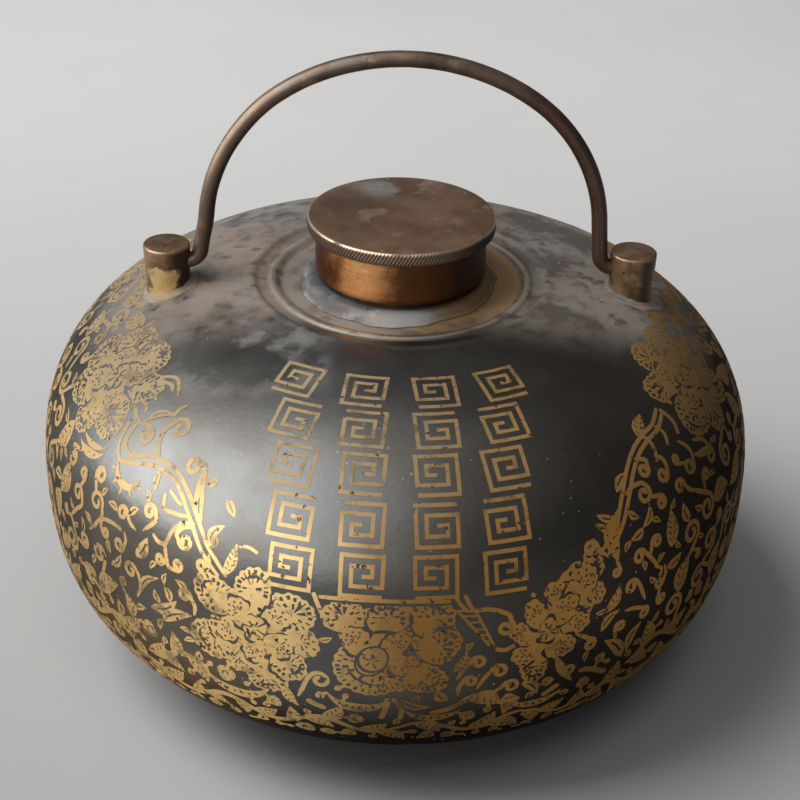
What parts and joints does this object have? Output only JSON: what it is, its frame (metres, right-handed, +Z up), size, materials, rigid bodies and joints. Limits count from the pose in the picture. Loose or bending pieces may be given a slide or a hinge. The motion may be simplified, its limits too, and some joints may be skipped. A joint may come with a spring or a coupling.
{
  "type": "hot-water hand warmer",
  "caption": "Round-bellied metal hot-water hand warmer with gilt scrollwork on dark patina, a knurled screw cap on a threaded neck and a wire bail that swings between upright posts.",
  "frame": {"origin": "centre of the base, on the surface that the vessel stands on", "axes": "+Z up through the cap, X through the posts, and the decorated front towards -Y"},
  "size_m": [0.16, 0.16, 0.1403],
  "materials": {
    "patina": "dark patina, satin",
    "neck_brass": "turned, satin",
    "solder": "grey, rough",
    "post_bronze": "worn bronze, satin",
    "post_solder": "pale braze, rough",
    "crown_bronze": "dark bronze, satin",
    "skirt_copper": "coppery, polished",
    "washer_leather": "oiled",
    "bail_bronze": "brown bronze wire, satin",
    "gilt": "worn gilding on the patina"
  },
  "bodies": {
    "vessel": {"upper_shell": "patina", "lower_shell": "patina", "seam_braze": "post_solder", "filler_neck": "neck_brass", "neck_braze": "solder", "left_post": "post_bronze", "right_post": "post_bronze", "left_post_braze": "post_solder", "right_post_braze": "post_solder"},
    "washer": {"seal_washer": "washer_leather"},
    "cap": {"cap_crown": "crown_bronze", "cap_skirt": "skirt_copper"},
    "bail": {"bail_handle": "bail_bronze"}
  },
  "joints": [
    {"name": "cap_rise", "type": "slide", "parent": "vessel", "child": "washer", "axis": [0, 0, 1], "range_m": [0, 0.009]},
    {"name": "cap_turn", "type": "hinge", "parent": "washer", "child": "cap", "pos_m": [0, 0, 0.0954], "axis": [0, 0, 1], "range_deg": [0, 1080]},
    {"name": "bail_swing", "type": "hinge", "parent": "vessel", "child": "bail", "pos_m": [0, 0, 0.09178], "axis": [1, 0, 0], "range_deg": [-93, 93]}
  ],
  "couplings": [
    {"joint": "cap_rise", "follows": "cap_turn", "m_per_rad": 0.00047746}
  ]
}
